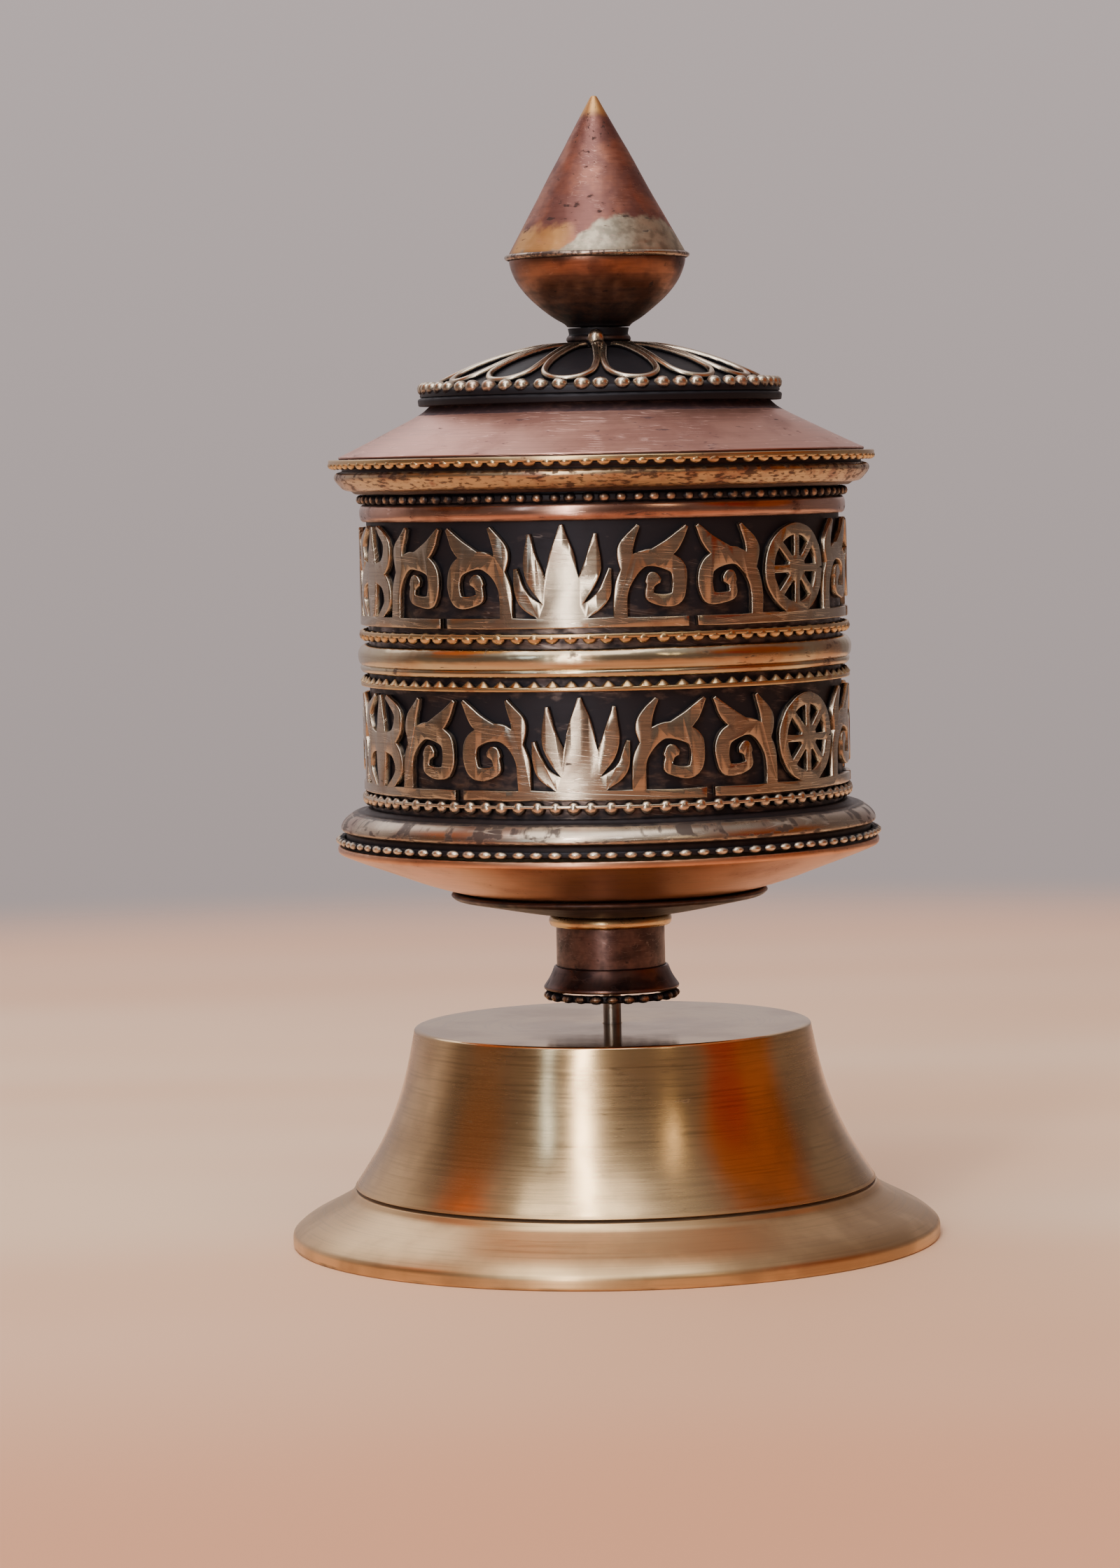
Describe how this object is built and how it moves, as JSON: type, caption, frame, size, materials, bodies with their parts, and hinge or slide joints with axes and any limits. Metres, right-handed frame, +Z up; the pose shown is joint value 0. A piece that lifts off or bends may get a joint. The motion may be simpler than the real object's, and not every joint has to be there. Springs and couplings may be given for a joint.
{
  "type": "prayer wheel",
  "caption": "Table-top devotional wheel: a banded, ornamented metal drum with a lift-off lid and pointed finial spins on a steel pin standing in a flared brass foot.",
  "frame": {"origin": "centre of the foot's resting face, on the spin axis", "axes": "+Z up along the spin axis; -Y is the front, where the middle of an ornament plate nearly faces the viewer"},
  "size_m": [0.0724, 0.0724, 0.127],
  "materials": {
    "polished_brass": "polished",
    "aged_brass": "satin",
    "white_brass": "satin",
    "copper": "satin",
    "dark_copper": "satin",
    "steel": "satin",
    "paper": "matte",
    "thread": "matte"
  },
  "bodies": {
    "foot": {"foot_bell": "polished_brass", "pin_washer": "aged_brass", "pin_nut": "aged_brass", "pivot_pin": "steel"},
    "drum": {"drum_wall": "dark_copper", "copper_band": "copper", "middle_band": "aged_brass", "neck_beads": "aged_brass", "middle_beads_upper": "aged_brass", "middle_beads_lower": "aged_brass", "panel_beads": "aged_brass", "flange_band": "white_brass", "flange_beads": "white_brass", "bowl": "copper", "lower_disc": "dark_copper", "sleeve": "dark_copper", "sleeve_collar": "aged_brass", "sleeve_foot": "dark_copper", "sleeve_foot_beads": "aged_brass", "guide_bush": "aged_brass", "axle_tube": "aged_brass", "sleeve_hub": "aged_brass", "pivot_cup": "polished_brass", "paper_roll": "paper", "paper_tie_lower": "thread", "paper_tie_upper": "thread", "upper_ornament_1": "white_brass", "upper_ornament_2": "white_brass", "upper_ornament_3": "white_brass", "upper_ornament_4": "white_brass", "upper_ornament_5": "white_brass", "upper_ornament_6": "white_brass", "lower_ornament_1": "white_brass", "lower_ornament_2": "white_brass", "lower_ornament_3": "white_brass", "lower_ornament_4": "white_brass", "lower_ornament_5": "white_brass", "lower_ornament_6": "white_brass"},
    "lid": {"lid_cover": "copper", "lid_skirt": "aged_brass", "lid_rim_wire": "aged_brass", "petal_disc": "dark_copper", "petal_disc_beads": "white_brass", "petal_wire": "white_brass", "finial_neck": "dark_copper", "finial_cup": "copper", "finial_cone": "copper", "finial_seam": "aged_brass", "finial_stud": "steel", "finial_nut": "aged_brass", "finial_washer": "aged_brass"}
  },
  "joints": [
    {"name": "drum_spin", "type": "hinge", "parent": "foot", "child": "drum", "pos_m": [0, 0, 0], "axis": [0, 0, 1], "continuous": true},
    {"name": "lid_lift", "type": "slide", "parent": "drum", "child": "lid", "axis": [0, 0, 1], "range_m": [0, 0.05]}
  ]
}
